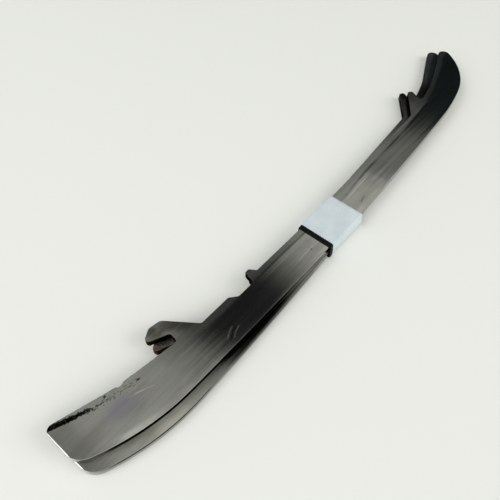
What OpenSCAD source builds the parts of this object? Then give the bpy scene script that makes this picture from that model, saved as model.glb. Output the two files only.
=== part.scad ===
// Pair of hockey skate runners, stacked flat, fanned and held by a rubber band and a paper label.
// Millimetres. X runs from heel to toe, Y from ice edge to top edge, Z up. The origin is on the table,
// under the middle of the rubber band.

/* [Runner] */
// Steel thickness
steel_t = 2.9; // [2.6:0.1:3.4]
// Steel height at the band
blade_h = 14.8; // [12:0.2:20]
// Heel end, measured back from the band
heel_len = 122.3; // [118:0.5:130]
// Toe tip round, measured forward from the band
toe_len = 157.3; // [154:0.5:162]
// Rise of the top edge from the band to the front hook
front_rise = 3.1; // [1:0.1:5]

/* [Ice edge] */
// Rocker radius
rocker_r = 1960; // [1500:20:3400]
// Lowest point of the rocker, from the band
rocker_x = -50; // [-70:1:-20]
// Heel curve radius
heel_r = 90; // [70:1:120]
// Start of the heel curve
heel_x = -82; // [-90:1:-74]
// Heel bottom corner radius
heel_corner_r = 8; // [4:0.5:10]
// First toe curve radius
toe_r1 = 150; // [120:5:200]
// Start of the first toe curve, back from the tip
toe_back1 = 53.3; // [48:0.5:60]
// Second toe curve radius
toe_r2 = 47.5; // [44:0.5:52]
// Start of the second toe curve, back from the tip
toe_back2 = 29.3; // [27:0.5:32]
// Toe tip radius
tip_r = 3; // [2:0.1:4]

/* [Hooks] */
// Rear hook, back wall of its slot
hook_x = -71.6; // [-76:0.2:-68]
// Rear slot width at its back wall
slot_w = 4.0; // [3.5:0.1:4.5]
// Height of the rear hook above its slot
hook_h = 7.45; // [6.5:0.05:9]
// Latch tooth, middle
tooth_x = -32.3; // [-36:0.2:-26]
// Latch tooth height
tooth_h = 2.8; // [1.5:0.1:4]
// Latch notch depth
notch_d = 2.6; // [1:0.1:4]
// Front hook, back from the toe tip
tab_back = 45.5; // [44:0.5:48]
// Height of the front hook above the top edge
tab_h = 11.1; // [9:0.1:13]
// Nick in the heel's top edge, radius
nick_r = 2.2; // [1.5:0.1:3]
// Depth of the nick
nick_d = 0.65; // [0.3:0.05:1]

/* [Wrap] */
// Band width
band_w = 1.7; // [1.2:0.1:4]
// Band thickness
band_t = 0.6; // [0.4:0.1:1.2]
// Label width along the runners
label_w = 22; // [14:0.5:30]
// Label paper thickness
label_t = 0.16; // [0.1:0.02:0.4]
// Fan angle between the runners
fan_deg = 2.3; // [0:0.1:2.4]
// Lengthwise stagger of the lower runner
stagger = 0.7; // [-2:0.1:2]
// Swivel axis, forward of the label's heel-side edge
pivot_x = 7; // [4:0.5:11]
// Clearance between steel and wrap, and between the runners
fit_gap = 0.05; // [0.03:0.01:0.15]
// Slack of the wrap beside the runners
wrap_slack = 0.12; // [0.08:0.02:0.4]

/* [Hidden] */
$fn = 64;
// How far a chord of a rounded stretch may stray from its true arc
arc_tol = 0.01;

// Middle of the steel height, brought to Y zero
seat_y = blade_h / 2;
z_low = band_t + fit_gap;
z_up = z_low + steel_t + fit_gap;
z_top = z_up + steel_t;

// Centre of a circle of radius r2 that touches circle (c, r) from inside, at abscissa x of its lower side
function inner_c(c, r, x, r2) = let (
    p = [x, c.y - sqrt(r * r - (x - c.x) * (x - c.x))])
    p + (c - p) / r * r2;
// Same, but for a circle that also touches the upright line x = x_end on its left
function corner_c(c, r, x_end, r2) = [x_end + r2,
    c.y - sqrt((r - r2) * (r - r2) - (x_end + r2 - c.x) * (x_end + r2 - c.x))];
// Where two circles that touch from inside meet
function touch(c, r, c2) = c + (c2 - c) / norm(c2 - c) * r;

// Front end, placed from the toe tip
toe_x1 = toe_len - toe_back1;
toe_x2 = toe_len - toe_back2;
tab_x = toe_len - tab_back;

rocker_c = [rocker_x, sqrt(rocker_r * rocker_r - rocker_x * rocker_x) - blade_h];
heel_c = inner_c(rocker_c, rocker_r, heel_x, heel_r);
heel_cc = corner_c(heel_c, heel_r, -heel_len, heel_corner_r);
heel_t = touch(heel_c, heel_r, heel_cc);
toe_c1 = inner_c(rocker_c, rocker_r, toe_x1, toe_r1);
toe_c2 = inner_c(toe_c1, toe_r1, toe_x2, toe_r2);
// Toe tip: its rightmost point is at toe_len, and it touches the second toe curve from inside
tip_dx = toe_len - tip_r - toe_c2.x;
tip_c = [toe_len - tip_r, toe_c2.y - sqrt((toe_r2 - tip_r) * (toe_r2 - tip_r) - tip_dx * tip_dx)];
tip_out = touch(toe_c2, toe_r2, tip_c);
// Slope of the inner toe edge where it runs into the tip
toe_a = 21.5;
tip_in = tip_c + tip_r * [-sin(toe_a), cos(toe_a)];

// Lower edge of the steel at abscissa x, in the rocker's stretch
function ice_y(x) = rocker_c.y - sqrt(rocker_r * rocker_r - (x - rocker_x) * (x - rocker_x));
// Top edge forward of the band, up to the foot of the front hook's slope
slope_run = 17.8;
front_x = tab_x - slope_run;
function top_y(x) = x < 0 ? 0 : front_rise * x / front_x;

// Turn from one chord of an arc to the next, so that a chord strays from the arc by no more than arc_tol
function chord_turn(r) = min(15, 2 * acos(1 - arc_tol / r));
// Arc of radius r about c, the short way from p to q. With first = 1, p itself is left out
function arc(c, r, p, q, first = 0) = let (
    a0 = atan2(p.y - c.y, p.x - c.x),
    da = (atan2(q.y - c.y, q.x - c.x) - a0 + 540) % 360 - 180,
    n = ceil(abs(da) / chord_turn(r)))
    [for (i = [first:n]) c + r * [cos(a0 + da * i / n), sin(a0 + da * i / n)]];
// Arc that rounds corner b between its neighbours a and c. The third number of a point is its radius
function unit(v) = v / norm(v);
function xy(p) = [p.x, p.y];
function corner(a, b, c) = b[2] == 0 ? [xy(b)] : let (
    u = unit(xy(a) - xy(b)),
    v = unit(xy(c) - xy(b)),
    h = acos(u * v) / 2,
    m = xy(b) + unit(u + v) * b[2] / sin(h))
    arc(m, b[2], xy(b) + u * b[2] / tan(h), xy(b) + v * b[2] / tan(h));
// Radius that rounds corner b over a run of length t on either side
function run_r(a, b, c, t) = t * tan(acos(unit(a - b) * unit(c - b)) / 2);
function closed(p) = [for (i = [0:len(p) - 1])
    each corner(p[(i + len(p) - 1) % len(p)], p[i], p[(i + 1) % len(p)])];
function open_run(p) = [for (i = [1:len(p) - 2]) each corner(p[i - 1], p[i], p[i + 1])];

// Lower side of a circle at abscissa x
function under(c, r, x) = [x, c.y - sqrt(r * r - (x - c.x) * (x - c.x))];
// Ice edge from the heel end to the toe tip: heel corner, heel curve, rocker, two toe curves and the tip
heel_foot = [-heel_len, heel_cc.y];
heel_p = under(rocker_c, rocker_r, heel_x);
toe_p1 = under(rocker_c, rocker_r, toe_x1);
toe_p2 = under(toe_c1, toe_r1, toe_x2);
ice_edge = concat(
    arc(heel_cc, heel_corner_r, heel_foot, heel_t),
    arc(heel_c, heel_r, heel_t, heel_p, 1),
    arc(rocker_c, rocker_r, heel_p, toe_p1, 1),
    arc(toe_c1, toe_r1, toe_p1, toe_p2, 1),
    arc(toe_c2, toe_r2, toe_p2, tip_out, 1),
    arc(tip_c, tip_r, tip_out, tip_in, 1));

// Top edge from toe to heel. Each row is x, y and corner radius
slot_y = 1.45;
slot_top = slot_y + slot_w;
hook_top = slot_top + hook_h;
// Nose of the rear hook, from its upper to its lower corner
nose_top = hook_top - 2.4;
nose_low = slot_top + 3.35;
nose_r = min(1.2, 0.71 * (nose_top - nose_low));
tab_y = top_y(tab_x) - 0.6 + tab_h;
v_x = tab_x - 3.5;
v_y = top_y(v_x) + 1.7;
bend_x = v_x + 17.7;
bend_y = tip_in.y - (tip_in.x - bend_x) * tan(toe_a);
bend_run = 8.55;
bend_r = run_r(tip_in, [bend_x, bend_y], [v_x, v_y], bend_run);
// Knee and end of the heel's top edge
knee_x = hook_x - 26.4;
knee_y = slot_y + 3.3;
heel_y = slot_y + 10.1;
top_edge = [
    tip_in,
    [bend_x, bend_y, bend_r],
    [v_x, v_y, 1.2],
    [tab_x + 0.2, tab_y - 1.2, 1.0],
    [tab_x - 2.1, tab_y, 1.0],
    [front_x, front_rise, 2.0],
    [0, 0, 0],
    [tooth_x + 2.7, 0, 0.8],
    [tooth_x + 0.8, tooth_h, 0.9],
    [tooth_x - 1.5, tooth_h, 1.0],
    [tooth_x - 2.6, -notch_d, 0.9],
    [tooth_x - 11.0, -notch_d, 1.2],
    [tooth_x - 14.2, 0, 1.5],
    [hook_x + 10.6, 0, 1.5],
    [hook_x + 1.5, hook_top - 0.7, 2.5],
    [hook_x - 3.6, hook_top + 0.1, 2.5],
    [hook_x - 7.8, nose_top, nose_r],
    [hook_x - 7.4, nose_low, 0.75 * nose_r],
    [hook_x + 0.1, slot_top, 1.1],
    [hook_x - 0.3, slot_y, 1.0],
    [knee_x, knee_y, 50],
    [-heel_len, heel_y, 2.4],
    heel_foot];

module runner_outline() {
    difference() {
        polygon(concat(ice_edge, open_run(top_edge)));
        translate([knee_x + 2, knee_y - 0.25 + nick_r - nick_d])
            circle(r = nick_r);
    }
}

module runner() {
    translate([band_w / 2, seat_y])
        linear_extrude(steel_t)
            runner_outline();
}

module upper_runner() {
    color("#8f8f8c")
        translate([0, 0, z_up])
            runner();
}

module lower_runner() {
    color("#85857f")
        translate([pivot_x + band_w / 2, 0, z_low])
            rotate(fan_deg)
                translate([stagger - pivot_x - band_w / 2, 0])
                    runner();
}

// How far a point of the lower runner at abscissa x swings to the side
function swing(x) = abs(x - pivot_x) * tan(fan_deg) + abs(stagger) * tan(fan_deg);

// Loop round both runners, seen along X: upright beside the lower one, then slanted to the upper one
module loop_side(low0, low1, up0, up1, t) {
    polygon(closed([
        [low0 - t, z_low - fit_gap - t, t + 0.1],
        [low1 + t, z_low - fit_gap - t, t + 0.1],
        [low1 + t, z_up, 0],
        [up1 + t, z_top + fit_gap + t, t + 0.1],
        [up0 - t, z_top + fit_gap + t, t + 0.1],
        [low0 - t, z_up, 0]]));
}

module loop(x0, x1, t) {
    ice0 = min(ice_y(x0), ice_y(x1));
    top1 = max(top_y(x0), top_y(x1));
    side = max(swing(x0), swing(x1));
    low0 = ice0 - side - wrap_slack + seat_y;
    low1 = top1 + side + wrap_slack + seat_y;
    up0 = ice0 - wrap_slack + seat_y;
    up1 = top1 + wrap_slack + seat_y;
    translate([x0 + band_w / 2, 0, 0])
        rotate([90, 0, 90])
            linear_extrude(x1 - x0)
                difference() {
                    loop_side(low0, low1, up0, up1, t);
                    loop_side(low0, low1, up0, up1, 0);
                }
}

module rubber_band() {
    color("#151515")
        loop(-band_w, 0, band_t);
}

module paper_label() {
    color("#dde4e6")
        loop(fit_gap, fit_gap + label_w, label_t);
}

lower_runner();
upper_runner();
rubber_band();
paper_label();
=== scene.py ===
import math

import bmesh
import bpy
from mathutils import Matrix, Vector, noise


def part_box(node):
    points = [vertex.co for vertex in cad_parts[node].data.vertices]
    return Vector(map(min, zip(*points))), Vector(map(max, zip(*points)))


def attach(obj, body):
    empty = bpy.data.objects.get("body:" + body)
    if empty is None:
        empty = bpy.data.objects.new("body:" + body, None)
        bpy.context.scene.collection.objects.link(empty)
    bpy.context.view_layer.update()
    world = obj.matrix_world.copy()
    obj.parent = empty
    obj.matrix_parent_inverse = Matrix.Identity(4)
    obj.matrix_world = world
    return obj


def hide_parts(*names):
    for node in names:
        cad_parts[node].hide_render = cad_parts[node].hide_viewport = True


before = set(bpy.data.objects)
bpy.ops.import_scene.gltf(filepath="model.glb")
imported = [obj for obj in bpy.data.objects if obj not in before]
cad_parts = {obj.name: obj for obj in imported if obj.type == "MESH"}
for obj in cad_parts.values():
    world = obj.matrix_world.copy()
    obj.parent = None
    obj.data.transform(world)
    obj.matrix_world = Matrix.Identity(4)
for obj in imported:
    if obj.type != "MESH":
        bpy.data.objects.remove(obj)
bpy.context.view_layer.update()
mm = 0.001  # the pieces are written in millimetres, Blender works in metres
print("frame loaded:", sorted(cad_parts))


# an sRGB hex colour as linear light
def linear(hexColour):
    parts = [int(hexColour[i:i + 2], 16) / 255 for i in (1, 3, 5)]
    return [c / 12.92 if c <= 0.04045 else ((c + 0.055) / 1.055) ** 2.4 for c in parts] + [1.0]


# adds one node, sets its options and fills its inputs with values or links, by name or in their order
# a node given as an input stands for its first output in use
def addNode(tree, kind, inputs=(), **settings):
    node = tree.nodes.new("ShaderNode" + kind)
    for key, value in settings.items():
        setattr(node, key, value)
    for key, value in inputs.items() if isinstance(inputs, dict) else enumerate(inputs):
        if isinstance(value, bpy.types.Node):
            value = next(socket for socket in value.outputs if socket.enabled)
        if isinstance(value, bpy.types.NodeSocket):
            tree.links.new(value, node.inputs[key])
        else:
            node.inputs[key].default_value = value
    return node


def newMaterial(name):
    material = bpy.data.materials.new(name)
    material.use_nodes = True
    material.node_tree.nodes.clear()
    return material, material.node_tree


# a mask: smooth steps, each of a value from where it gives nought to where it gives one, times other shares
def mask(tree, steps, *shares):
    product = 1.0
    for value, nought, full in steps:
        step = addNode(tree, "MapRange", [value, nought, full], interpolation_type="SMOOTHSTEP")
        product = addNode(tree, "Math", [product, step], operation="MULTIPLY")
    for share in shares:
        product = addNode(tree, "Math", [product, share], operation="MULTIPLY")
    return product


# lays values or colours over a first one, each by its own share
def layered(tree, first, layers, kind="FLOAT"):
    under, over = {"FLOAT": (2, 3), "RGBA": (6, 7)}[kind]  # inputs of one name, told apart by number
    for share, laid in layers:
        first = addNode(tree, "Mix", {0: share, under: first, over: laid}, data_type=kind)
    return first


# a piece's own coordinates in millimetres
def placeInMm(tree):
    metres = addNode(tree, "TexCoord").outputs["Object"]
    return addNode(tree, "VectorMath", {0: metres, "Scale": 1 / mm}, operation="SCALE")


# noise laid out in millimetres, longer on one axis than another where size says so
def grain(tree, spot, size, detail, seed):
    scale = [1 / length for length in size]
    spread = addNode(tree, "VectorMath", [spot, scale, (seed, seed, seed)], operation="MULTIPLY_ADD")
    return addNode(tree, "TexNoise", {"Vector": spread, "Scale": 1.0, "Detail": detail})


# height of a smooth line through points, read off along its first axis
def lineAt(tree, along, points):
    low, high = min(y for x, y in points), max(y for x, y in points)
    start, end = points[0][0], points[-1][0]
    node = addNode(tree, "FloatCurve", {"Value": addNode(tree, "MapRange", [along, start, end])})
    curve = node.mapping.curves[0]
    for x, y in points[1:-1]:
        curve.points.new((x - start) / (end - start), (y - low) / (high - low))
    curve.points[0].location = (0, (points[0][1] - low) / (high - low))
    curve.points[-1].location = (1, (points[-1][1] - low) / (high - low))
    node.mapping.update()
    return addNode(tree, "Math", [node, high - low, low], operation="MULTIPLY_ADD")


# a place seen from a mark's middle, turned so that the first axis runs along the mark
def turnedPlace(tree, spot, x, y, angle):
    moved = addNode(tree, "VectorMath", [spot, (x, y, 0)], operation="SUBTRACT")
    turn = {"Vector": moved, "Angle": math.radians(-angle)}
    return addNode(tree, "VectorRotate", turn, rotation_type="Z_AXIS")


# one within a bowed dash of given length and width, fading over its rim and towards its ends
def dash(tree, spot, x, y, angle, length, width, bow, rim=(0.15, -0.1), ends=(1.0, 0.6)):
    parts = addNode(tree, "SeparateXYZ", [turnedPlace(tree, spot, x, y, angle)]).outputs
    along = addNode(tree, "Math", [parts["X"], length / 2], operation="DIVIDE")
    bend = addNode(tree, "Math", [along, along], operation="MULTIPLY")
    across = addNode(tree, "Math", [bend, bow, parts["Y"]], operation="MULTIPLY_ADD")
    along = addNode(tree, "Math", [along], operation="ABSOLUTE")
    across = addNode(tree, "Math", [across], operation="ABSOLUTE")
    return mask(tree, [(across, width / 2 + rim[0], width / 2 + rim[1]), (along, *ends)])


# one in the middle of a soft oval, fading to zero at its rim
def blob(tree, spot, x, y, angle, length, width, rim=(1.0, 0.2)):
    turned = turnedPlace(tree, spot, x, y, angle)
    away = addNode(tree, "VectorMath", [turned, (2 / length, 2 / width, 0)], operation="MULTIPLY")
    return mask(tree, [(addNode(tree, "VectorMath", [away], operation="LENGTH"), *rim)])


# depth of a place inside an edge made of arcs, each from its start to the next one's
def depthInside(tree, spot, x, arcs):
    flatSpot = addNode(tree, "VectorMath", [spot, (1, 1, 0)], operation="MULTIPLY")
    layers = []
    for start, centre, radius in arcs:
        away = addNode(tree, "VectorMath", [flatSpot, centre], operation="DISTANCE")
        depth = addNode(tree, "Math", [radius, away], operation="SUBTRACT")
        layers.append((addNode(tree, "Math", [x, start], operation="GREATER_THAN"), depth))
    return layered(tree, 0.0, layers)


tolerance = {"merge": 0.002, "flat": 0.1, "cut": 0.001}  # millimetres, and degrees between faces held flat


# a copy of a CAD node's mesh, its loose triangles merged into flat faces
def mergedCopy(node):
    bm = bmesh.new()
    bm.from_mesh(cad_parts[node].data)
    bmesh.ops.remove_doubles(bm, verts=bm.verts, dist=tolerance["merge"] * mm)
    flat = math.radians(tolerance["flat"])
    bmesh.ops.dissolve_limit(bm, angle_limit=flat, verts=bm.verts, edges=bm.edges)
    return bm


# cuts the whole mesh along a plane, and takes off what is in front of it if asked to
def cutPlane(bm, point, normal, clear=False):
    whole = bm.verts[:] + bm.edges[:] + bm.faces[:]
    return bmesh.ops.bisect_plane(bm, geom=whole, dist=tolerance["cut"] * mm,
                                  plane_co=point, plane_no=normal, clear_outer=clear)


# cuts the whole mesh across an axis
def cutAlong(bm, axis, place):
    normal = Vector((axis == "x", axis == "y", axis == "z"))
    cutPlane(bm, normal * place, normal)


# turns a finished bmesh into a piece that stands for a CAD node
def newPiece(bm, name, material, body, node):
    for face in bm.faces:
        face.smooth = True
    mesh = bpy.data.meshes.new(name)
    bm.to_mesh(mesh)
    bm.free()
    piece = bpy.data.objects.new(name, mesh)
    bpy.context.scene.collection.objects.link(piece)
    mesh.materials.append(material)
    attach(piece, body)
    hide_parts(node)
    return piece


# a direction by its angles: azimuth counts from the x axis, elevation from the floor
def direction(azimuth, elevation):
    turn, rise = math.radians(azimuth), math.radians(elevation)
    return Vector((math.cos(turn) * math.cos(rise), math.sin(turn) * math.cos(rise), math.sin(rise)))


# camera, fitted to the photograph's outline: millimetres and degrees
viewpoint = {
    "lens": 37.44,
    "sensor": 36.0,
    "target": (-19.5, 19.03, 0.3),
    "distance": 218.4,
    "azimuth": -139.13,
    "elevation": 52.6,
    "clip": (5.0, 50000.0),
}


def addCamera():
    back = direction(viewpoint["azimuth"], viewpoint["elevation"])
    data = bpy.data.cameras.new("camera")
    data.lens, data.sensor_width = viewpoint["lens"], viewpoint["sensor"]
    data.clip_start, data.clip_end = (distance * mm for distance in viewpoint["clip"])
    camera = bpy.data.objects.new("camera", data)
    camera.location = (Vector(viewpoint["target"]) + back * viewpoint["distance"]) * mm
    camera.rotation_euler = (-back).to_track_quat("-Z", "Y").to_euler()
    bpy.context.scene.collection.objects.link(camera)
    bpy.context.scene.camera = camera


# room light: a pale ceiling with a brighter side, a pale horizon, a dim far wall with a dark doorway,
# two dark gaps overhead and soft lamps
room = {
    "ceiling": 0.44,
    "horizon": 0.8,
    "brightSide": (235.0, (-0.15, 0.45), 0.92),   # azimuth, where it fades in as a cosine, brightness
    "horizonTop": (9.0, 16.0),              # degrees above the floor where the pale horizon ends
    "patches": {                            # light, middle (azimuth, elevation), half width and height, rim
        "far wall": ((0.21, 0.21, 0.21, 1), (19.0, 28.4), (38.0, 14.4), 0.05),
        "shaded wall": ((0.11, 0.11, 0.115, 1), (19.0, 28.5), (31.0, 10.8), 0.16),
        "doorway": ((0.008, 0.011, 0.014, 1), (19.0, 29.4), (25.0, 7.9), 0.09),
        "ceiling gap": ((0.008, 0.009, 0.011, 1), (43.4, 58.6), (8.5, 6.6), 0.5),
        "camera side": ((0.0, 0.0, 0.0, 1), (317.0, 62.0), (13.0, 7.0), 0.3),
    },
    "lamps": {                              # azimuth, elevation, distance, size, watts, mirrored or not
        "left window": (157.0, 42.0, 1500.0, 1300.0, 6.2, False),
        "right window": (299.0, 31.0, 1500.0, 900.0, 5.6, False),
        "heel glint": (134.0, 57.0, 1500.0, 560.0, 1.4, True),
    },
}


# a lamp that isn't mirrored leaves polished steel to the room, so that no side of it clips to white
def addLamp(name, azimuth, elevation, distance, size, power, mirrored):
    data = bpy.data.lights.new(name, "AREA")
    data.shape, data.size, data.energy = "DISK", size * mm, power
    lamp = bpy.data.objects.new(name, data)
    lamp.location = direction(azimuth, elevation) * distance * mm
    lamp.rotation_euler = direction(azimuth, elevation).to_track_quat("Z", "Y").to_euler()
    lamp.visible_glossy = mirrored
    bpy.context.scene.collection.objects.link(lamp)


# one inside an oval round a direction, fading to zero over its rim
def oval(tree, heading, place, spread, rim):
    toward = direction(*place)
    side = Vector((0, 0, 1)).cross(toward).normalized()
    parts = []
    for axis, angle in ((side, spread[0]), (toward.cross(side), spread[1])):
        axis = axis / math.sin(math.radians(angle))
        parts.append(addNode(tree, "VectorMath", [heading, axis], operation="DOT_PRODUCT"))
    away = addNode(tree, "VectorMath", [addNode(tree, "CombineXYZ", parts)], operation="LENGTH")
    ahead = addNode(tree, "VectorMath", [heading, toward], operation="DOT_PRODUCT")
    inFront = addNode(tree, "Math", [ahead, 0.0], operation="GREATER_THAN")
    return mask(tree, [(away, 1 + rim, 1 - rim)], inFront)


def addRoom():
    world = bpy.data.worlds.new("room")
    bpy.context.scene.world = world
    world.use_nodes = True
    tree = world.node_tree
    tree.nodes.clear()
    heading = addNode(tree, "TexCoord").outputs["Generated"]
    height = addNode(tree, "SeparateXYZ", [heading]).outputs["Z"]
    azimuth, fadesIn, bright = room["brightSide"]
    behind = addNode(tree, "VectorMath", [heading, direction(azimuth, 0)], operation="DOT_PRODUCT")
    ceiling = layered(tree, room["ceiling"], [(mask(tree, [(behind, *fadesIn)]), bright)])
    low, high = (math.sin(math.radians(angle)) for angle in room["horizonTop"])
    light = layered(tree, room["horizon"], [(mask(tree, [(height, low, high)]), ceiling)])
    patches = [(oval(tree, heading, *shape), dark) for dark, *shape in room["patches"].values()]
    light = layered(tree, light, patches, "RGBA")
    seen = addNode(tree, "Background", {"Color": light, "Strength": 1.0})
    addNode(tree, "OutputWorld", {"Surface": seen})
    for name, settings in room["lamps"].items():
        addLamp(name, *settings)


floor = {"size": 6000.0, "colour": "#f4f6ef", "roughness": 0.5}


# white laminate, pressed smooth: an even half-matt white that keeps the object's shadow
def addFloor():
    bm = bmesh.new()
    bmesh.ops.create_grid(bm, x_segments=1, y_segments=1, size=floor["size"] / 2 * mm)
    mesh = bpy.data.meshes.new("floor")
    bm.to_mesh(mesh)
    bm.free()
    plane = bpy.data.objects.new("floor", mesh)
    bpy.context.scene.collection.objects.link(plane)
    material, tree = newMaterial("white laminate")
    finish = {"Base Color": linear(floor["colour"]), "Roughness": floor["roughness"]}
    addNode(tree, "OutputMaterial", {"Surface": addNode(tree, "BsdfPrincipled", finish)})
    mesh.materials.append(material)


addCamera()
addRoom()
addFloor()
print("camera, room and floor ready")


# both runners are the same pressing: sizes in millimetres, in the runner's own place
runner = {
    "offset": (0.85, 7.4),      # the runner's zero in the frame
    "pivot": 7.85,              # the lower runner is turned about this X
    "fan": 2.3,
    "stagger": 0.7,
    "step": 2.0,                # spacing of the cuts across the flat sides
    "stepParts": 24,            # a cut may move by some of these parts of a step, to stay clear of corners
    "stepMoves": 8,
    "strips": (-0.5, 0.0, 0.5),  # cuts along the walls, in half thicknesses from the middle
    "wornAngle": 35.0,          # an edge sharper than this is worn round
    "edgeRound": 0.14,
    "hollow": 0.083,            # depth of the hollow grind on the ice edge
    "wallTilt": 0.2,            # the walls' normals rise or fall less than this
    "iceBelow": (-5.0, -0.3),   # the ice wall lies below this Y and faces down at least so much,
    "iceAhead": (120.0, -0.15),  # or, round the toe, beyond this X
    "heelEnd": -122.3,
    "heelCut": (0.48, 12.0),    # width and slant in degrees of the chamfer ground on the heel's end
}


# from the frame to the runner's own place
def runnerPlace(lower):
    place = Matrix.Translation((-runner["offset"][0] * mm, -runner["offset"][1] * mm, 0))
    if lower:
        pivot = Matrix.Translation((runner["pivot"] * mm, 0, 0))
        turn = Matrix.Rotation(math.radians(-runner["fan"]), 4, "Z")
        shift = Matrix.Translation((-runner["stagger"] * mm, 0, 0))
        place = place @ shift @ pivot @ turn @ pivot.inverted()
    return place


# true for a face of the wall that runs on the ice
def isIceFace(face, place):
    centre = place @ face.calc_center_median() / mm
    normal = place.to_3x3() @ face.normal
    (bottom, bottomFacing), (toe, toeFacing) = runner["iceBelow"], runner["iceAhead"]
    below = centre.y < bottom and normal.y < bottomFacing
    ahead = centre.x > toe and normal.y < toeFacing
    return abs(normal.z) <= runner["wallTilt"] and (below or ahead)


# the place near a wanted one that is farthest from all corners, so that no cut leaves a sliver
def clearPlace(corners, wanted):
    moves = range(-runner["stepMoves"], runner["stepMoves"] + 1)
    tries = [wanted + runner["step"] * mm * i / runner["stepParts"] for i in moves]
    return max(tries, key=lambda place: min(abs(place - corner) for corner in corners))


# grinds the heel's end off a little on both faces, which catches the light
def chamferHeel(bm, place, middle, half):
    width, slant = runner["heelCut"][0] * mm, math.radians(runner["heelCut"][1])
    back = place.inverted()
    for up in (1, -1):
        normal = back.to_3x3() @ Vector((-math.sin(slant), 0, up * math.cos(slant)))
        point = back @ Vector((runner["heelEnd"] * mm + width, 0, 0))
        point.z = middle + up * half
        cut = cutPlane(bm, point, normal, clear=True)
        rim = [part for part in cut["geom_cut"] if isinstance(part, bmesh.types.BMEdge)]
        for face in bmesh.ops.holes_fill(bm, edges=rim, sides=0)["faces"]:
            for edge in face.edges:
                edge.smooth = edge.calc_face_angle() > 2 * slant


# a runner as it was cut, with its heel chamfered, its ice wall hollow ground and its edges worn
def addRunner(node, name, body, lower, material):
    bm = mergedCopy(node)
    place = runnerPlace(lower)
    low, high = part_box(node)
    middle, half = (low.z + high.z) / 2, (high.z - low.z) / 2
    chamferHeel(bm, place, middle, half)
    # cut the flat sides across and the walls into strips, then draw the ice wall in to its hollow
    corners = sorted(vert.co.x for vert in bm.verts)
    count = round((high.x - low.x) / (runner["step"] * mm))
    for i in range(1, count):
        cutAlong(bm, "x", clearPlace(corners, low.x + (high.x - low.x) * i / count))
    for share in runner["strips"]:
        cutAlong(bm, "z", middle + share * half)
    bm.normal_update()
    ice = {face for face in bm.faces if isIceFace(face, place)}
    for vert in bm.verts:
        if vert.link_faces and all(face in ice for face in vert.link_faces):
            depth = 1 - ((vert.co.z - middle) / half) ** 2
            vert.co -= vert.normal * depth * runner["hollow"] * mm
    weight = bm.edges.layers.float.new("bevel_weight_edge")
    worn = math.radians(runner["wornAngle"])
    for edge in bm.edges:
        edge[weight] = float(len(edge.link_faces) == 2 and edge.calc_face_angle() > worn)
    piece = newPiece(bm, name, material, body, node)
    bevel = piece.modifiers.new("worn edges", "BEVEL")
    bevel.width, bevel.segments, bevel.profile = runner["edgeRound"] * mm, 2, 0.5
    bevel.limit_method, bevel.use_clamp_overlap = "WEIGHT", False
    even = piece.modifiers.new("even shading", "WEIGHTED_NORMAL")
    even.mode, even.keep_sharp = "FACE_AREA", True


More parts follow.
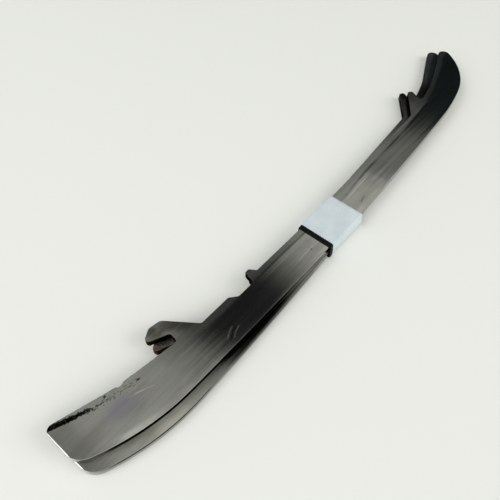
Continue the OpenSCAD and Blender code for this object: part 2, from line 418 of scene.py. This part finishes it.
# what the steel of both runners shares: places and sizes in millimetres, and lines as (x, value) along the
# runner; a pair of limits goes from where a mark gives nothing to where it is full
steel = {
    "face": "#cccdc2",
    "stain": "#babaaf",
    "grime": "#6b6558",                     # brown film on the rear hook
    "iceWall": "#a3a39d",
    "paintedWallShade": "#605f5b",                     # painted shade: the dark line along the ice wall, darkest when seen at a low angle
    # the cut walls: dirt, darkened further as painted shade
    "cutWall": "#1f1c19",
    "rust": "#5d3d27",
    "grains": {                             # size along x, y and z, detail, place in the noise
        "lines": ((34.0, 0.5, 0.5), 2.0, 0.0),      # the real ones are 0.05 mm wide, drawn coarser to show
        "streaks": ((60.0, 1.9, 1.9), 2.0, 7.0),
        "clouds": ((17.0, 7.0, 7.0), 3.0, 13.0),
        "specks": ((0.9, 0.6, 0.6), 2.0, 19.0),
        "rust": ((2.6, 2.2, 1.6), 3.0, 23.0),
        "waves": ((80.0, 2.2, 2.2), 0.6, 29.0),     # from grinding, they break reflections into streaks
    },
    "stained": (0.4, 0.75),
    "lineTone": (0.3, 0.85),                # how far the grain moves the tone, and from where
    "streakTone": (0.36, 0.82),
    "heelTone": [(-123, 0.5), (-117, 0.62), (-110, 0.84), (-98, 0.85), (-86, 0.79), (-78, 0.82),
                 (-70, 1.0)],
    "film": (-75.0, 9.5, 25, 13.0, 12.0),   # x, y, angle, length, width
    # the ice edge: where each arc starts, its centre and radius
    "iceArcs": [
        (-123.0, (-80.53, 74.81, 0.0), 90.0),
        (-82.0, (-50.0, 1944.56, 0.0), 1960.0),
        (104.0, (92.21, 140.16, 0.0), 150.0),
        (128.0, (116.67, 40.62, 0.0), 47.5),
    ],
    # where the holder's lip pressed: its line and darkness, and the tone, partly painted reflection, and
    # roughness of the strip above
    "lipLine": [(-123, 8.5), (-98, 1.8), (-60, -3.4), (-24, -2.7), (-6, -2.6), (23, -3.6), (37, -2.5),
                (54, -1.4), (75, -0.8), (87, -0.2), (115, 3.5), (131, 7.9), (152, 15.5)],
    "lipWander": 1.2,
    "lipWidth": (0.9, 0.2),
    "lipBroken": (0.25, 0.55),
    "lipDark": [(-123, 0.0), (-60, 0.05), (-20, 0.5), (20, 0.55), (34, 0.6), (90, 0.7), (115, 0.3),
                (152, 0.2)],
    "stripAbove": (-1.2, 1.8),
    "stripToneAndReflection": [(-123, 1.0), (-85, 0.95), (-50, 0.85), (-24, 0.54), (-10, 0.6), (4, 0.66), (28, 0.85),
                  (45, 0.85), (60, 1.0), (95, 1.1), (106, 0.75), (117, 0.7), (126, 1.0), (152, 1.1)],
    "stripRough": [(-123, 0.06), (-70, 0.1), (-50, 0.16), (0, 0.18), (60, 0.2), (106, 0.2), (122, 0.17),
                   (152, 0.17)],
    # how pale the face is rubbed along the ice edge, partly a painted highlight
    "rubAndHighlightLine": [(-123, 0.0), (-113, 0.0), (-109, 0.15), (-104, 0.65), (-98, 0.7), (-92, 0.3), (-86, 0.12),
                (-80, 0.2), (-68, 0.2), (-62, 0.1), (-20, 0.05), (-14, 0.12), (25, 0.3), (45, 0.0),
                (152, 0.0)],
    "rubAndHighlightDepth": (2.9, 0.9),
    "rubAndHighlightBroken": (0.2, 0.5),
    # walls, told from the faces by how little they point up or down
    "wallUp": (0.99, 0.9),
    "dirtAndShadeDepth": (4.0, 6.0),               # depth inside the ice edge from which the walls are dirty and darkened as painted shade
    "paintedWallShadeDepth": (3.0, 2.0),               # and up to which the ice wall has its painted shade line
    "paintedWallShadeSoft": 0.15,
    "heelUp": (0.995, 0.985),               # the heel's chamfered end slants a little and faces back
    "heelFacing": (-0.8, -0.92),
    "heelFrom": (-112.0, -114.0),
    "rustLine": [(-123, 0.3), (-84, 0.35), (-79, 1.0), (-70, 0.9), (-66, 0.35), (100, 0.35), (108, 0.7),
                 (116, 0.7), (122, 0.3), (152, 0.3)],
    "rustMetal": -0.9,                      # what rust takes off the metallic value
    "roughness": 0.05,
    "cloudRough": 0.05,
    "lineRough": 0.03,
    "filmRough": 0.35,
    "wallRough": 0.12,
    "dirtyRough": 0.45,
    "crustRough": 0.75,                     # of rust and scale
    "dirtAndShadeDull": 0.85,                      # how much sheen the dirty walls lose at a low angle, which adds painted shade
    "relief": 0.055,                        # depth of the waves
    "lineRelief": 0.02,                     # share of the lines in it
}

# the upper runner's own marks
upperSteel = {
    "seed": 0.0,
    "filmGrain": "clouds",                  # the grain that breaks up the brown film, and its limits
    "filmBroken": (0.42, 0.6),
    "rubAndHighlight": 1.0,                             # how much of the pale rub and painted highlight it has
    # painted light and shade on the ice wall along the runner, and its painted shade line: how dark it is,
    # and where it lies below the wall's top
    "iceWallPaintedLight": [(-123, 1.2), (-80, 1.4), (-74, 1.0), (-68, 0.6), (-62, 0.1), (-40, 0.06), (-34, 0.25),
                 (-28, 0.5), (-20, 0.9), (-12, 1.2), (10, 1.2), (40, 1.0), (152, 1.0)],
    "paintedWallShadeLine": [(-123, 0.0), (-117, 0.15), (-113, 0.6), (-109, 0.95), (-100, 1.0), (-36, 1.0), (-30, 0.6),
                  (-24, 0.3), (-16, 0.1), (26, 0.1), (60, 0.0), (152, 0.0)],
    "paintedWallShadeSpan": (0.15, 2.35),
    "rustBroken": (0.5, 0.62),
    "rustShare": 0.15,
    "tint": "#b4b1b9",                      # violet-grey heat stain near the heel and ahead of the label
    "violet": (-100.5, -2.4, -14, 19.0, 12.0),     # x, y, angle, length, width
    "violetShare": 0.8,
    # a step in tone ahead of the label, slanted and broken by streaks
    "neckSlant": 0.19,
    "neckWander": 7.0,
    "neckFrom": (46.2, 49.4),
    "neckTo": (70.0, 52.0),
    "neckTint": 0.45,
    "neckTone": -0.15,
    # black scale at the heel, between two depths below the top edge's line, broken up more towards the toe
    "scale": "#040404",
    "crust": "#34322c",                     # greyer lumps in the scale
    "crustFrom": (0.42, 0.68),
    "topLine": [(-123, 11.75), (-98, 4.75), (-84, 3.0), (-72, 1.5), (-60, 0.2), (0, 0), (94, 3.1),
                (114, 7.0), (134, 13.5), (152, 19.4)],
    "scaleFrom": [(-123, -0.6), (-113, -0.2), (-110, 0.4), (-106, 1.3), (-103, 1.7), (-90, 2.1)],
    "scaleTo": [(-123, 2.0), (-112, 2.2), (-108, 2.5), (-100, 3.0), (-90, 2.9)],
    "scaleDark": [(-123, 1.0), (-110, 1.0), (-105, 0.75), (-98, 0.6), (-90, 0.45)],
    "scaleBroken": [(-123, 1.2), (-114, 1.7), (-109, 3.6), (-104, 6.5), (-90, 8.0)],
    "scaleSpecks": 0.53,                    # specks above this add scale, those below take it away
    "scaleRim": (-0.1, 0.4),
    "scaleEnd": (-88.0, -91.0),
    "patches": [                            # on the rear hook: x, y, angle, length, width, lightness
        (-68.0, 7.0, -48, 20.0, 8.0, -0.5),
        (-76.0, 11.2, 20, 8.0, 4.5, -0.45),
        (-74.8, 8.0, -27, 12.0, 3.6, 0.6),
    ],
    "dashes": [                             # x, y, angle, length, width, bow, lightness
        (-56.3, -11.2, 23, 6.0, 0.5, 0.5, -0.6),
        (-91.5, -3.2, -24, 9.0, 0.5, 0.3, 0.25),
        (-94.5, -2.2, -20, 7.0, 0.4, 0.2, 0.25),
        (33.6, -4.7, 3, 20.0, 0.5, 0.0, 0.3),
        (-10.2, -9.4, 1, 13.0, 0.7, 0.0, 0.2),
        (29.8, -10.2, 16, 5.2, 0.35, 0.2, -0.5),
        (-7.3, -10.0, 0, 0.9, 0.4, 0.0, -0.8),
        (-102.2, 4.9, 0, 1.1, 0.7, 0.0, -0.9),
        (-90.7, 1.1, -10, 1.4, 0.6, 0.0, -0.8),
    ],
    "scuffs": [                             # matt dashes: x, y, angle, length, width, bow
        (-57.2, -10.3, 24, 6.6, 0.5, 0.5),
        (-55.1, -11.8, 22, 6.6, 0.5, 0.5),
    ],
    "scuffRough": 0.15,
}

# the lower runner's own marks
lowerSteel = {
    "seed": 31.0,
    "filmGrain": "specks",
    "filmBroken": (0.2, 0.6),
    "rubAndHighlight": 0.2,
    # painted light and shade on the lower ice wall along the runner, and its painted shade line
    "iceWallPaintedLight": [(-123, 1.0), (-72, 1.0), (-64, 0.5), (-56, 0.3), (-44, 0.3), (-30, 0.4), (-16, 0.5),
                 (-6, 1.0), (152, 1.0)],
    "paintedWallShadeLine": [(-123, 0.0), (-119, 0.3), (-116, 0.6), (-112, 0.9), (-80, 0.9), (-70, 0.6), (-56, 0.8),
                  (-36, 0.7), (-24, 0.5), (-10, 0.3), (152, 0.2)],
    "paintedWallShadeSpan": (0.2, 1.3),
    "rustBroken": (0.42, 0.62),
    "rustShare": 0.9,
    "rustSpot": (-78.2, 9.7, -27, 4.0, 3.0),
    "oldGrime": "#332d25",                  # dark film on the front hook
    "oldFilm": (110.5, 11.0, 62, 17.0, 13.0),      # x, y, angle, length, width, as for the rust spot
    # painted shade and reflections along the lower runner's face
    "facePaintedLight": [(-123, 0.8), (-116, 0.85), (-104, 0.9), (-98, 1.25), (-92, 1.4), (-86, 1.16), (-80, 0.95),
                 (-74, 0.67), (-68, 0.46), (-62, 0.25), (-46, 0.2), (-34, 0.5), (-20, 1.0), (58, 1.0),
                 (74, 0.75), (88, 0.5), (102, 0.38), (120, 0.4), (130, 1.3), (152, 1.5)],
    "mattFrom": (-60.0, -78.0),             # the heel's face is matt from here back
    "mattRough": 0.6,
}


# the places and patterns that all layers of the steel read, in millimetres in the runner's own place
def steelPlaces(tree, seed, place):
    metres = addNode(tree, "TexCoord").outputs["Object"]
    spot = addNode(tree, "Mapping", {"Vector": metres, "Location": place.translation / mm,
                                     "Rotation": place.to_euler(), "Scale": (1 / mm, 1 / mm, 1 / mm)})
    x, y, z = addNode(tree, "SeparateXYZ", [spot]).outputs
    at = {"spot": spot, "x": x, "y": y, "z": z, "depth": depthInside(tree, spot, x, steel["iceArcs"])}
    for name, (size, detail, shift) in steel["grains"].items():
        at[name] = grain(tree, spot, size, detail, seed + shift)
    return at


# where the holder's lip pressed a dark line, which wanders a little, and the strip above it
def lipMarks(tree, at):
    wander = steel["lipWander"]
    above = addNode(tree, "Math", [at["y"], lineAt(tree, at["x"], steel["lipLine"])], operation="SUBTRACT")
    above = addNode(tree, "Math", [above, wander / 2], operation="SUBTRACT")
    above = addNode(tree, "Math", [at["streaks"], wander, above], operation="MULTIPLY_ADD")
    away = addNode(tree, "Math", [above], operation="ABSOLUTE")
    pressed = mask(tree, [(away, *steel["lipWidth"]), (at["clouds"], *steel["lipBroken"])],
                   lineAt(tree, at["x"], steel["lipDark"]))
    return pressed, mask(tree, [(above, *steel["stripAbove"])])


# the heel's bright end, the other walls, those of them that are dirty and darkened as painted shade, and
# the painted shade line along the ice wall
def wallMasks(tree, at, own, top):
    normal = addNode(tree, "NewGeometry").outputs["Normal"]
    up = addNode(tree, "SeparateXYZ", [normal]).outputs["Z"]
    up = addNode(tree, "Math", [up], operation="ABSOLUTE")
    level = addNode(tree, "VectorMath", [normal, (1, 1, 0)], operation="MULTIPLY")
    level = addNode(tree, "VectorMath", [level], operation="NORMALIZE")
    facing = addNode(tree, "SeparateXYZ", [level]).outputs["X"]
    heelSteps = [(up, *steel["heelUp"]), (facing, *steel["heelFacing"]), (at["x"], *steel["heelFrom"])]
    heelEnd = mask(tree, heelSteps)
    elsewhere = addNode(tree, "Math", [1.0, heelEnd], operation="SUBTRACT")
    wall = mask(tree, [(up, *steel["wallUp"])], elsewhere)
    dirtAndShade = mask(tree, [(at["depth"], *steel["dirtAndShadeDepth"])], wall)
    below = addNode(tree, "Math", [top, at["z"]], operation="SUBTRACT")
    (start, end), soft = own["paintedWallShadeSpan"], steel["paintedWallShadeSoft"]
    span = [(below, start - soft, start + soft), (below, end + soft, end - soft)]
    dark = lineAt(tree, at["x"], own["paintedWallShadeLine"])
    paintedWallShade = mask(tree, span + [(at["depth"], *steel["paintedWallShadeDepth"])], wall, dark)
    return heelEnd, wall, dirtAndShade, paintedWallShade


# the step ahead of the label, kept below the lip's strip
def neckStep(tree, at, own, strip):
    ahead = addNode(tree, "Math", [at["streaks"], own["neckWander"], at["x"]], operation="MULTIPLY_ADD")
    ahead = addNode(tree, "Math", [at["y"], own["neckSlant"], ahead], operation="MULTIPLY_ADD")
    belowStrip = addNode(tree, "Math", [1.0, strip], operation="SUBTRACT")
    return mask(tree, [(ahead, *own["neckFrom"]), (ahead, *own["neckTo"])], belowStrip)


# the scale along the heel's top edge, breaking up into pits
def heelScale(tree, at, own):
    keys = ("topLine", "scaleFrom", "scaleTo", "scaleBroken", "scaleDark")
    top, start, end, broken, dark = (lineAt(tree, at["x"], own[key]) for key in keys)
    depth = addNode(tree, "Math", [top, at["y"]], operation="SUBTRACT")
    pastStart = addNode(tree, "Math", [depth, start], operation="SUBTRACT")
    beforeEnd = addNode(tree, "Math", [end, depth], operation="SUBTRACT")
    inside = addNode(tree, "Math", [pastStart, beforeEnd], operation="MINIMUM")
    specks = addNode(tree, "Math", [at["specks"], own["scaleSpecks"]], operation="SUBTRACT")
    inside = addNode(tree, "Math", [specks, broken, inside], operation="MULTIPLY_ADD")
    return mask(tree, [(inside, *own["scaleRim"]), (at["x"], *own["scaleEnd"])], dark)


# ground stainless steel, worn in a holder and on ice: fine lines along it that mirror the room in streaks,
# with stains, films and scuffs on the faces, a bright ice wall, dark and rusty cut walls and a ground heel
def groundSteel(name, node, lower):
    material, tree = newMaterial(name)
    own = lowerSteel if lower else upperSteel
    at = steelPlaces(tree, own["seed"], runnerPlace(lower))
    spot, x, lines, clouds = at["spot"], at["x"], at["lines"], at["clouds"]
    pressed, strip = lipMarks(tree, at)
    heelEnd, wall, dirtAndShade, paintedWallShade = wallMasks(tree, at, own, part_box(node)[1].z / mm)
    stain = mask(tree, [(clouds, *steel["stained"])])
    film = mask(tree, [(at[own["filmGrain"]], *own["filmBroken"])], blob(tree, spot, *steel["film"]))
    # pale rub along the ice edge, partly a painted highlight
    rubAndHighlight = mask(tree, [(at["depth"], *steel["rubAndHighlightDepth"]), (clouds, *steel["rubAndHighlightBroken"])],
               lineAt(tree, x, steel["rubAndHighlightLine"]))
    rust = mask(tree, [(at["rust"], *own["rustBroken"])], dirtAndShade, own["rustShare"],
                lineAt(tree, x, steel["rustLine"]))
    # the ice wall's tone along the runner is painted light and shade
    iceWallPaintedLight = lineAt(tree, x, own["iceWallPaintedLight"])
    iceWall = {0: linear(steel["iceWall"])[:3], "Scale": iceWallPaintedLight}
    iceWall = addNode(tree, "VectorMath", iceWall, operation="SCALE")
    # a layer is a share and what it brings there: lightness, colour or roughness; a tone is a plain factor
    marks = [(pressed, -1.0), (rubAndHighlight, own["rubAndHighlight"])]
    stains = [(stain, linear(steel["stain"])), (film, linear(steel["grime"]))]
    # the cut walls' dark coat is dirt and painted shade; the ice wall's line is painted shade
    coats = [(heelEnd, linear(steel["face"])), (wall, iceWall), (dirtAndShade, linear(steel["cutWall"])),
             (paintedWallShade, linear(steel["paintedWallShade"]))]
    finishes = [(strip, lineAt(tree, x, steel["stripRough"]))]
    tones = [addNode(tree, "Math", [lines, *steel["lineTone"]], operation="MULTIPLY_ADD"),
             addNode(tree, "Math", [at["streaks"], *steel["streakTone"]], operation="MULTIPLY_ADD"),
             lineAt(tree, x, steel["heelTone"]),
             # the strip's tone along the runner is partly painted reflection
             layered(tree, 1.0, [(strip, lineAt(tree, x, steel["stripToneAndReflection"]))])]
    if lower:
        oldFilm = blob(tree, spot, *own["oldFilm"])
        stains.append((oldFilm, linear(own["oldGrime"])))
        film = addNode(tree, "Math", [film, oldFilm], operation="MAXIMUM")
        rust = addNode(tree, "Math", [rust, blob(tree, spot, *own["rustSpot"])], operation="MAXIMUM")
        crusted = rust
        finishes.append((mask(tree, [(x, *own["mattFrom"])]), own["mattRough"]))
        # the lower face's painted shade and reflections along its length
        tones.append(lineAt(tree, x, own["facePaintedLight"]))
    else:
        neck = neckStep(tree, at, own, strip)
        violet = blob(tree, spot, *own["violet"])
        for share, strength in ((violet, own["violetShare"]), (neck, own["neckTint"])):
            stains.append((mask(tree, [], share, strength), linear(own["tint"])))
        scale = heelScale(tree, at, own)
        lumps = [(mask(tree, [(at["specks"], *own["crustFrom"])]), linear(own["crust"]))]
        coats.append((scale, layered(tree, linear(own["scale"]), lumps, "RGBA")))
        crusted = addNode(tree, "Math", [scale, rust], operation="MAXIMUM")
        marks.append((neck, own["neckTone"]))
        marks += [(blob(tree, spot, *shape), lightness) for *shape, lightness in own["patches"]]
        marks += [(dash(tree, spot, *shape), lightness) for *shape, lightness in own["dashes"]]
        finishes += [(dash(tree, spot, *shape), own["scuffRough"]) for shape in own["scuffs"]]
    coats.append((rust, linear(steel["rust"])))
    finishes += [(film, steel["filmRough"]), (heelEnd, steel["roughness"]), (wall, steel["wallRough"]),
                 (dirtAndShade, steel["dirtyRough"]), (crusted, steel["crustRough"])]
    for share, lightness in marks:
        tones.append(addNode(tree, "Math", [share, lightness, 1.0], operation="MULTIPLY_ADD"))
    face = layered(tree, linear(steel["face"]), stains, "RGBA")
    for tone in tones:
        face = addNode(tree, "VectorMath", {0: face, "Scale": tone}, operation="SCALE")
    colour = layered(tree, face, coats, "RGBA")
    rough = addNode(tree, "Math", [clouds, steel["cloudRough"], steel["roughness"]],
                    operation="MULTIPLY_ADD")
    rough = addNode(tree, "Math", [lines, steel["lineRough"], rough], operation="MULTIPLY_ADD")
    rough = layered(tree, rough, finishes)
    height = addNode(tree, "Math", [lines, steel["lineRelief"], at["waves"]], operation="MULTIPLY_ADD")
    bump = addNode(tree, "Bump", {"Strength": 1.0, "Distance": steel["relief"] * mm, "Height": height})
    # the ice wall's painted shade line and the dirty walls, darkened as painted shade, have little sheen at
    # a low angle
    dull = addNode(tree, "Math", [dirtAndShade, steel["dirtAndShadeDull"]], operation="MULTIPLY")
    dull = addNode(tree, "Math", [paintedWallShade, dull], operation="MAXIMUM")
    sheen = addNode(tree, "Math", [1.0, dull], operation="SUBTRACT")
    metal = addNode(tree, "Math", [rust, steel["rustMetal"], 1.0], operation="MULTIPLY_ADD")
    shade = addNode(tree, "BsdfPrincipled", {"Base Color": colour, "Metallic": metal, "Roughness": rough,
                                             "Normal": bump, "Specular Tint": sheen})
    addNode(tree, "OutputMaterial", {"Surface": shade})
    return material


upperMaterial = groundSteel("ground stainless steel, upper", "upper_runner", False)
lowerMaterial = groundSteel("ground stainless steel, lower", "lower_runner", True)
addRunner("upper_runner", "upper_runner_steel", "upper", False, upperMaterial)
addRunner("lower_runner", "lower_runner_steel", "lower", True, lowerMaterial)
print("runners ready")


# a wrap's outer wall, cut into a fine grid
def outerWall(node, stepX, stepY):
    bm = mergedCopy(node)
    low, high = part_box(node)
    centre = (low + high) / 2
    # the end walls face along x, the inner wall faces the middle
    inner = [face for face in bm.faces
             if abs(face.normal.x) > 0.5 or (face.calc_center_median() - centre).dot(face.normal) < 0]
    bmesh.ops.delete(bm, geom=inner, context="FACES")
    for axis, start, end, step in (("x", low.x, high.x, stepX), ("y", low.y, high.y, stepY)):
        count = round((end - start) / (step * mm))
        for i in range(1, count):
            cutAlong(bm, axis, start + (end - start) * i / count)
    bm.normal_update()
    return bm


# gives a wrap its thickness, inwards from its outer wall
def thicken(piece, name, thickness):
    solid = piece.modifiers.new(name, "SOLIDIFY")
    solid.thickness, solid.offset = thickness * mm, -1


# the label is one strip wrapped round both runners: sizes in millimetres
label = {
    "thickness": 0.16,
    "step": 1.0,                                # spacing of the grid
    "wave": 0.05,                               # height and length of the paper's ripple
    "waveLength": 9.0,
    "pale": "#d6e0e3",
    "grey": "#cad5d9",
    "fibres": ((0.7, 0.5, 0.5), 3.0, 3.0),      # size, detail, place in the noise; drawn coarser to show
    "clumps": ((6.0, 5.0, 5.0), 2.0, 11.0),
    "shares": (0.4, 0.6),                       # of the fibres and the clumps in the tone
    "greyFrom": (0.3, 0.7),
    "roughness": 0.75,
    "relief": 0.03,
    "reliefStrength": 0.5,
}


# uncoated paper, rolled from wet pulp: fine clumps of fibre show in its tone and relief, and it is matt
def uncoatedPaper():
    material, tree = newMaterial("uncoated label paper")
    spot = placeInMm(tree)
    fibres = grain(tree, spot, *label["fibres"])
    clumps = grain(tree, spot, *label["clumps"])
    fine = addNode(tree, "Math", [fibres, label["shares"][0]], operation="MULTIPLY")
    pulp = addNode(tree, "Math", [clumps, label["shares"][1], fine], operation="MULTIPLY_ADD")
    grey = [(mask(tree, [(pulp, *label["greyFrom"])]), linear(label["grey"]))]
    colour = layered(tree, linear(label["pale"]), grey, "RGBA")
    bump = addNode(tree, "Bump", {"Strength": label["reliefStrength"], "Distance": label["relief"] * mm,
                                  "Height": fibres})
    shade = addNode(tree, "BsdfPrincipled", {"Base Color": colour, "Roughness": label["roughness"],
                                             "Normal": bump})
    addNode(tree, "OutputMaterial", {"Surface": shade})
    return material


def addLabel():
    bm = outerWall("paper_label", label["step"], label["step"])
    for vert in bm.verts:
        wave = noise.noise(vert.co / (label["waveLength"] * mm))
        vert.co += vert.normal * wave * label["wave"] * mm
    piece = newPiece(bm, "paper_label_wrap", uncoatedPaper(), "upper", "paper_label")
    thicken(piece, "paper thickness", label["thickness"])


# the band is a closed loop round both runners: sizes in millimetres
band = {
    "thickness": 0.6,
    "steps": (0.425, 1.0),                          # spacing of the grid, across the band and along it
    "round": 0.2,
    "roundAngle": 50.0,                             # an edge sharper than this is rounded
    "black": "#040404",
    "bloom": "#101010",
    "skinGrain": ((0.35, 0.35, 0.35), 2.0, 5.0),    # size, detail, place in the noise
    "bloomGrain": ((2.0, 3.5, 2.0), 2.0, 9.0),
    "bloomFrom": (0.5, 0.75),
    "roughness": (0.6, 0.2),                        # of the skin, and what the bloom adds
    "specular": 0.2,
    "relief": 0.03,
    "reliefStrength": 0.5,
}


# black natural rubber, moulded: a fine dull skin with a faint grey bloom
def blackRubber():
    material, tree = newMaterial("black natural rubber")
    spot = placeInMm(tree)
    skin = grain(tree, spot, *band["skinGrain"])
    bloom = mask(tree, [(grain(tree, spot, *band["bloomGrain"]), *band["bloomFrom"])])
    colour = layered(tree, linear(band["black"]), [(bloom, linear(band["bloom"]))], "RGBA")
    base, added = band["roughness"]
    rough = addNode(tree, "Math", [bloom, added, base], operation="MULTIPLY_ADD")
    bump = addNode(tree, "Bump", {"Strength": band["reliefStrength"], "Distance": band["relief"] * mm,
                                  "Height": skin})
    shade = addNode(tree, "BsdfPrincipled", {"Base Color": colour, "Roughness": rough, "Normal": bump,
                                             "Specular IOR Level": band["specular"]})
    addNode(tree, "OutputMaterial", {"Surface": shade})
    return material


def addBand():
    bm = outerWall("rubber_band", *band["steps"])
    piece = newPiece(bm, "rubber_band_loop", blackRubber(), "upper", "rubber_band")
    thicken(piece, "rubber thickness", band["thickness"])
    bevel = piece.modifiers.new("moulded edges", "BEVEL")
    bevel.width, bevel.segments, bevel.profile = band["round"] * mm, 2, 0.5
    bevel.limit_method, bevel.angle_limit = "ANGLE", math.radians(band["roundAngle"])


addLabel()
addBand()
print("label and band ready")

bpy.context.scene.view_settings.view_transform = "Standard"
